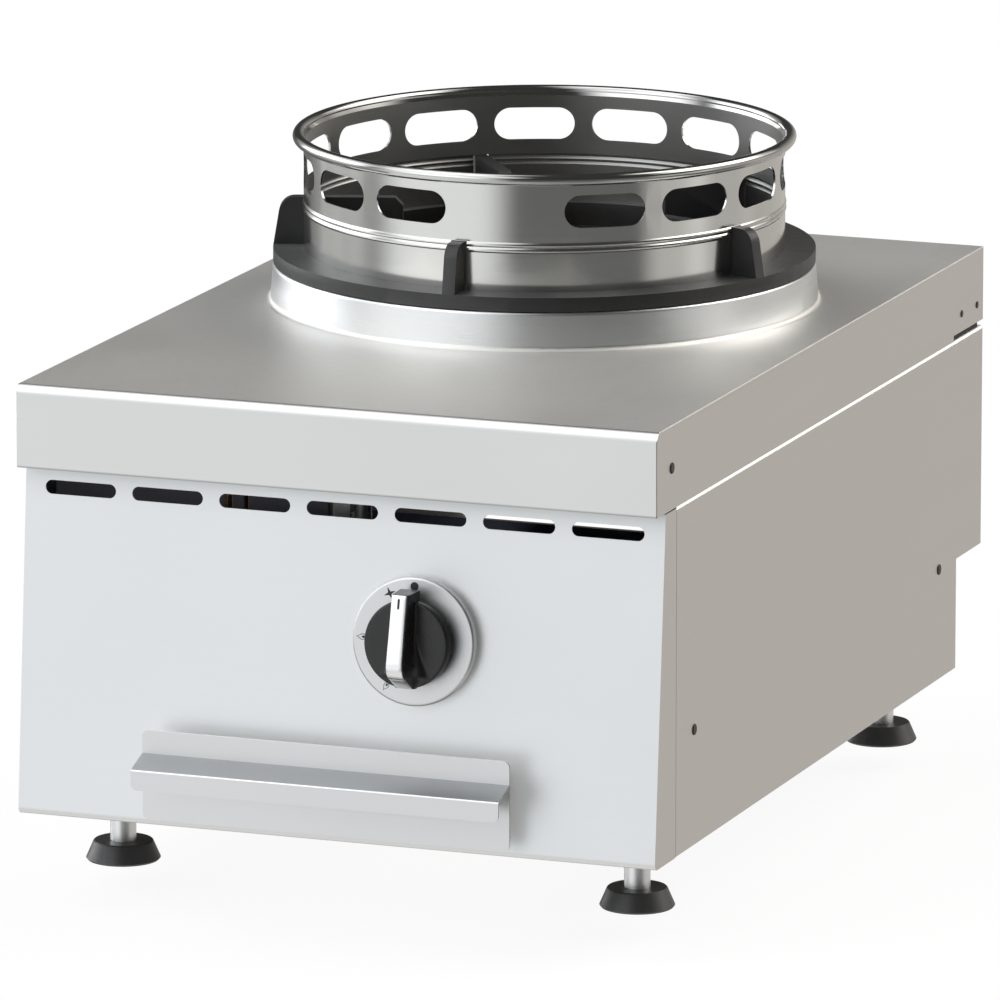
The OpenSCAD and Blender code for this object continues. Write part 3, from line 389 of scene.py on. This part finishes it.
def loft(sections, close=True):
    """Verts and faces of a tube through sections with the same number of points, ends capped."""
    n = len(sections[0])
    v = [q for sec in sections for q in sec]
    f = []
    for i in range(len(sections) - 1):
        for j in range(n):
            k = (j + 1) % n
            f.append((i * n + j, i * n + k, (i + 1) * n + k, (i + 1) * n + j))
    f.append(tuple(range(n))[::-1])
    f.append(tuple((len(sections) - 1) * n + j for j in range(n)))
    return v, f


# knob: a skirt, a grip bar over it and flanks that flow out to the skirt's lower edge
KB, KR = 14.7, 26.0


def outline():
    """The grip's front line, (up, out), from its upper end round to the skirt's lower edge."""
    pts = [(31.6, KB), (31.25, 20.0), (30.9, 25.0), (30.55, 29.5), (30.35, 31.2), (30.0, 31.95), (29.3, 32.25)]
    for i in range(1, 25):
        t = i / 24
        pts.append((29.3 + (-9.5 - 29.3) * t, 32.25 + (38.1 - 32.25) * t))
    for i in range(1, 15):
        a = math.radians(81.4 + (168 - 81.4) * i / 14)
        pts.append((-10.75 + 8.4 * math.cos(a), 29.79 + 8.4 * math.sin(a)))
    y0, z0 = pts[-1]
    for i in range(1, 13):
        t = i / 12
        pts.append((y0 + (-25.2 - y0) * (t ** 0.9), z0 + (KB + 5.4 - z0) * t))
    return pts


def bar_w(z):
    return 6.0 - 1.3 * (z - KB) / 24.9


def smooth01(t):
    t = max(0.0, min(1.0, t))
    return t * t * (3 - 2 * t)


def knob_section(y, zb):
    rim = math.sqrt(max(0.0, KR * KR - y * y))
    on = abs(y) < KR

    def disc(x):
        r = math.hypot(x, y)
        if r <= KR - 1.2:
            return KB + 6.0
        return KB + 4.8 + math.sqrt(max(0.0, 1.44 - (r - KR + 1.2) ** 2))
    zb = max(zb, KB + 0.02)
    half = []
    wt = bar_w(zb)
    t = max(0.0, min(1.0, (12.0 - y) / 30.0))
    b = 6.6 + 9.4 * t ** 2.2
    hf = 1.0 + 19.0 * smooth01((8.0 - y) / 27.0) ** 1.3
    base = bar_w(KB + 6)
    W = max(rim, min(6.0, bar_w(KB))) if on else bar_w(KB)
    if not on and y < 0:
        W = 0.0
    b = min(b, max(W - 0.6, base if W > base else W))
    half.append((W, KB))
    half.append((min(W, W), KB + min(4.8, zb - KB)))
    for q in (0.35, 0.75, 1.2):
        x = max(W - q, min(W, b))
        half.append((x, min(disc(x), max(zb, disc(x)) if on else zb) if on else KB + min(5.4, zb - KB)))
    for q in (0.2, 0.45, 0.7, 0.9):
        x = max(W - 1.2, b) + (b - max(W - 1.2, b)) * q
        half.append((x, disc(x) if on else KB + min(5.8, zb - KB)))
    d0 = disc(b) if on else KB + min(6.0, zb - KB)
    top = max(zb, d0)
    hf = min(hf, max(0.0, top - 0.9 - d0))
    for i in range(0, 9):
        a = math.pi / 2 * i / 8
        z = d0 + hf * (1 - math.cos(a))
        w = min(bar_w(z), b)
        half.append((w + (b - w) * (1 - math.sin(a)), z))
    for q in (0.35, 0.7, 1.0):
        z = d0 + hf + (max(0.0, top - 0.9 - d0 - hf)) * q
        half.append((min(bar_w(z), b), z))
    wt = min(wt, b)
    half.append((max(0.0, wt - 0.12), max(d0, top - 0.45)))
    half.append((max(0.0, wt - 0.45), max(d0, top - 0.12)))
    half.append((max(0.0, wt - 0.95), top))
    half.append((max(0.0, wt - 0.95) * 0.5, top))
    if not on:
        half = [(min(x, bar_w(z)), min(z, zb)) for x, z in half]
    return [tap(x, y, z) for x, z in half] + [tap(-x, y, z) for x, z in reversed(half)]


line = outline()
st = []
for (y1, z1), (y2, z2) in zip(line, line[1:]):
    st.append((y1, z1))
    if y1 > KR > y2 or abs(y1 - y2) > 1.2:
        st.append(((y1 + y2) / 2, (z1 + z2) / 2))
st.append(line[-1])
st += [(-25.6, KB + 5.2), (-25.85, KB + 5.0), (-25.97, KB + 4.85), (-26.0, KB + 4.8)]
v, f = loft([knob_section(y, z) for y, z in st])
build("knob_shell", v, f, M["black_plastic"], "tap_knob", sharp=32, replaces=("knob",))

# silver strip over the grip's front
front = [q for q in line if q[0] < 30.1]
secs = []
for i, (y, z) in enumerate(front):
    a, b = front[max(0, i - 1)], front[min(len(front) - 1, i + 1)]
    ty, tz = b[0] - a[0], b[1] - a[1]
    ln = math.hypot(ty, tz)
    ny, nz = tz / ln, -ty / ln
    w = 4.65 + 0.25 * smooth01((18 - y) / 36)
    h = 0.6 if i == len(front) - 1 else 0.8
    prof = [(-w, -0.5), (-w, h - 0.35), (-w + 0.1, h - 0.1), (-w + 0.35, h), (-w * 0.5, h + 0.02), (w * 0.5, h + 0.02), (w - 0.35, h), (w - 0.1, h - 0.1), (w, h - 0.35), (w, -0.5)]
    secs.append([tap(x, y + ny * k, z + nz * k) for x, k in prof])
v, f = loft(secs)
build("knob_strip", v, f, M["silver_trim"], "tap_knob", sharp=35, replaces=("knob_insert",))


def strip_out(y):
    """Height of the strip's face over the dial at a place up the grip."""
    return 32.25 + (38.1 - 32.25) * (29.3 - y) / 38.8 + 0.83


def plate(poly, z0, z1):
    """A flat piece over the dial: its outline (x, y), lower and upper height, each a number or a function of y."""
    g0 = z0 if callable(z0) else (lambda y: z0)
    g1 = z1 if callable(z1) else (lambda y: z1)
    return loft([[tap(x, y, g0(y)) for x, y in poly], [tap(x, y, g1(y)) for x, y in poly]])


def stadium(cx, cy, w, h, n=8):
    r = w / 2
    pts = []
    for i in range(n + 1):
        a = math.pi * i / n
        pts.append((cx + r * math.cos(a), cy + h / 2 - r + r * math.sin(a)))
    for i in range(n + 1):
        a = math.pi + math.pi * i / n
        pts.append((cx + r * math.cos(a), cy - h / 2 + r + r * math.sin(a)))
    return pts


v, f = plate(stadium(0, 25.4, 1.35, 6.2), lambda y: strip_out(y) - 0.2, lambda y: strip_out(y) + 0.06)
build("knob_index", v, f, PRINT, "tap_knob")

# marks on the dial: off, spark, full flame, low flame
DZ = 8.1
marks_v, marks_f = [], []


def mark(poly, z=DZ + 0.05):
    v, f = plate(poly, DZ - 0.1, z)
    k = len(marks_v)
    marks_v.extend(v)
    marks_f.extend(tuple(i + k for i in q) for q in f)


def turn(pts, ang, cx, cy):
    c, s = math.cos(math.radians(ang)), math.sin(math.radians(ang))
    return [(cx + x * c - y * s, cy + x * s + y * c) for x, y in pts]


mark([(2.5 * math.cos(a * math.tau / 28), 32.6 + 2.5 * math.sin(a * math.tau / 28)) for a in range(28)])
star = []
for k in range(8):
    r = 4.0 if k % 2 == 0 else 1.15
    star.append((r * math.cos(k * math.pi / 4), r * math.sin(k * math.pi / 4)))
mark(turn(star, 24, -15.3, 27.4))


def drop(r, tip, n=14):
    """A flame's outline, its tip at +x."""
    pts = []
    for i in range(n + 1):
        a = math.radians(62 + (298 - 62) * i / n)
        pts.append((r * math.cos(a), r * math.sin(a)))
    lo = [(tip * 0.55, -r * 0.46), (tip * 0.8, -r * 0.16), (tip, 0.0), (tip * 0.8, r * 0.16), (tip * 0.55, r * 0.46)]
    return pts + lo


def flame(cx, cy, k, ang):
    big, small = drop(2.0 * k, 4.4 * k), drop(1.62 * k, 3.6 * k)
    n = len(big)
    for i in range(n):
        j = (i + 1) % n
        mark(turn([big[i], big[j], small[j], small[i]], ang, cx, cy))
    mark(turn([(x * 0.5 - 0.5 * k, y * 0.5) for x, y in drop(1.7 * k, 3.0 * k)], ang, cx, cy))


flame(-31.4, 0.5, 0.95, 178)
flame(-15.8, -26.9, 0.85, 236)
build("dial_marks", marks_v, marks_f, PRINT, "body")

# ------------------------------------------------------------------ studio
world = bpy.data.worlds.new("studio")
SC.world = world
world.use_nodes = True
wt = world.node_tree
wt.nodes.clear()


def wn(kind, **kw):
    x = wt.nodes.new(kind)
    for k, v in kw.items():
        setattr(x, k, v)
    return x


wout = wn("ShaderNodeOutputWorld")
tc = wn("ShaderNodeTexCoord")


def lobe(az, el, r0, r1, strength, tint=(1, 1, 1)):
    """A soft light of the surroundings: full within r0 degrees of its direction, none beyond r1."""
    a, e = math.radians(az), math.radians(el)
    d = (math.cos(a) * math.cos(e), math.sin(a) * math.cos(e), math.sin(e))
    dot = wn("ShaderNodeVectorMath", operation="DOT_PRODUCT")
    nrm = wn("ShaderNodeVectorMath", operation="NORMALIZE")
    wt.links.new(tc.outputs["Generated"], nrm.inputs[0])
    wt.links.new(nrm.outputs["Vector"], dot.inputs[0])
    dot.inputs[1].default_value = d
    m = wn("ShaderNodeMapRange", interpolation_type="SMOOTHSTEP")
    m.inputs["From Min"].default_value = math.cos(math.radians(r1))
    m.inputs["From Max"].default_value = math.cos(math.radians(r0))
    m.inputs["To Min"].default_value = 0.0
    m.inputs["To Max"].default_value = strength
    wt.links.new(dot.outputs["Value"], m.inputs["Value"])
    c = wn("ShaderNodeVectorMath", operation="SCALE")
    c.inputs[0].default_value = tint
    wt.links.new(m.outputs["Result"], c.inputs["Scale"])
    return c.outputs["Vector"]


def add(a, b):
    x = wn("ShaderNodeVectorMath", operation="ADD")
    wt.links.new(a, x.inputs[0])
    wt.links.new(b, x.inputs[1])
    return x.outputs["Vector"]


# dim above the horizon, lighter below it, where the pale ground is
sep = wn("ShaderNodeSeparateXYZ")
wt.links.new(tc.outputs["Generated"], sep.inputs[0])
hor = wn("ShaderNodeMapRange", interpolation_type="SMOOTHSTEP")
for k, v in (("From Min", -0.10), ("From Max", 0.10), ("To Min", 0.17), ("To Max", 0.055)):
    hor.inputs[k].default_value = v
wt.links.new(sep.outputs["Z"], hor.inputs["Value"])
base = wn("ShaderNodeVectorMath", operation="SCALE")
base.inputs[0].default_value = (1.0, 1.0, 0.985)
wt.links.new(hor.outputs["Result"], base.inputs["Scale"])
env = base.outputs["Vector"]
for args in (
    (-121, 3, 22, 42, 0.88, (0.98, 1.0, 1.02)),
    (-125, 42, 20, 36, 1.3, (0.985, 1.0, 1.02)),
    (175, 18, 10, 30, 2.2, (0.97, 0.99, 1.03)),
    (158, 4, 8, 16, 1.5, (0.985, 1.0, 1.02)),
    (152, 14, 6, 24, 0.50, (1.0, 1.0, 0.99)),
    (52, 26, 6, 22, 0.95, (1.02, 1.0, 0.97)),
    (76, -15, 16, 42, 0.385, (1.06, 1.0, 0.92)),
    (-3, -8, 8, 22, 0.45, (1.02, 1.0, 0.96)),
    (160, -12, 8, 24, 0.12, (1.0, 1.0, 0.97)),
    (-95, -80, 36, 62, 0.66, (1.03, 1.0, 0.96)),
    (-178, -12, 10, 30, 0.24, (1.0, 1.0, 0.98)),
    (-172, 5, 9, 18, 0.8, (0.985, 1.0, 1.02)),
    (26, 2, 12, 32, 0.40, (1.04, 1.0, 0.95)),
    (180, 68, 8, 24, 2.0, (1.0, 1.0, 1.0)),
    (32, 42, 12, 32, 3.0, (1.03, 1.0, 0.96)),
):
    env = add(env, lobe(*args))
bg_env = wn("ShaderNodeBackground")
bg_cam = wn("ShaderNodeBackground")
bg_cam.inputs["Color"].default_value = (1, 1, 1, 1)
bg_cam.inputs["Strength"].default_value = 1.0
wt.links.new(env, bg_env.inputs["Color"])
lp = wn("ShaderNodeLightPath")
mx = wn("ShaderNodeMixShader")
wt.links.new(lp.outputs["Is Camera Ray"], mx.inputs["Fac"])
wt.links.new(bg_env.outputs[0], mx.inputs[1])
wt.links.new(bg_cam.outputs[0], mx.inputs[2])
wt.links.new(mx.outputs[0], wout.inputs["Surface"])


def area(name, loc, target, size, power, color=(1, 1, 1), spread=None):
    l = bpy.data.lights.new(name, "AREA")
    l.shape = "RECTANGLE"
    l.size, l.size_y = size
    l.energy = power
    l.color = color
    if spread:
        l.spread = math.radians(spread)
    o = bpy.data.objects.new(name, l)
    SC.collection.objects.link(o)
    o.location = loc
    o.rotation_mode = "QUATERNION"
    o.rotation_quaternion = (Vector(target) - Vector(loc)).to_track_quat("-Z", "Y")
    return o


area("key", (-1.9, -1.7, 2.6), (0, 0, 0.2), (1.8, 1.8), 4.0)

# floor: a large pale disc
bm = bmesh.new()
R = 30.0
ring = [bm.verts.new((R * math.cos(a * math.tau / 96), R * math.sin(a * math.tau / 96), -0.0158)) for a in range(96)]
bm.faces.new(ring)
me = bpy.data.meshes.new("floor")
bm.to_mesh(me)
bm.free()
floor = bpy.data.objects.new("floor", me)
SC.collection.objects.link(floor)
fm = bpy.data.materials.new("m_floor")
fm.use_nodes = True
ft = fm.node_tree
ft.nodes.clear()
fo = ft.nodes.new("ShaderNodeOutputMaterial")
fd = ft.nodes.new("ShaderNodeBsdfDiffuse")
fe = ft.nodes.new("ShaderNodeEmission")
fmix = ft.nodes.new("ShaderNodeMixShader")
fd.inputs["Color"].default_value = (0.95, 0.95, 0.95, 1)
fe.inputs["Color"].default_value = (1, 1, 1, 1)
fe.inputs["Strength"].default_value = 1.02
fmix.inputs["Fac"].default_value = 0.90
ft.links.new(fd.outputs[0], fmix.inputs[1])
ft.links.new(fe.outputs[0], fmix.inputs[2])
ft.links.new(fmix.outputs[0], fo.inputs["Surface"])
me.materials.append(fm)
floor.visible_glossy = False
floor.visible_diffuse = False
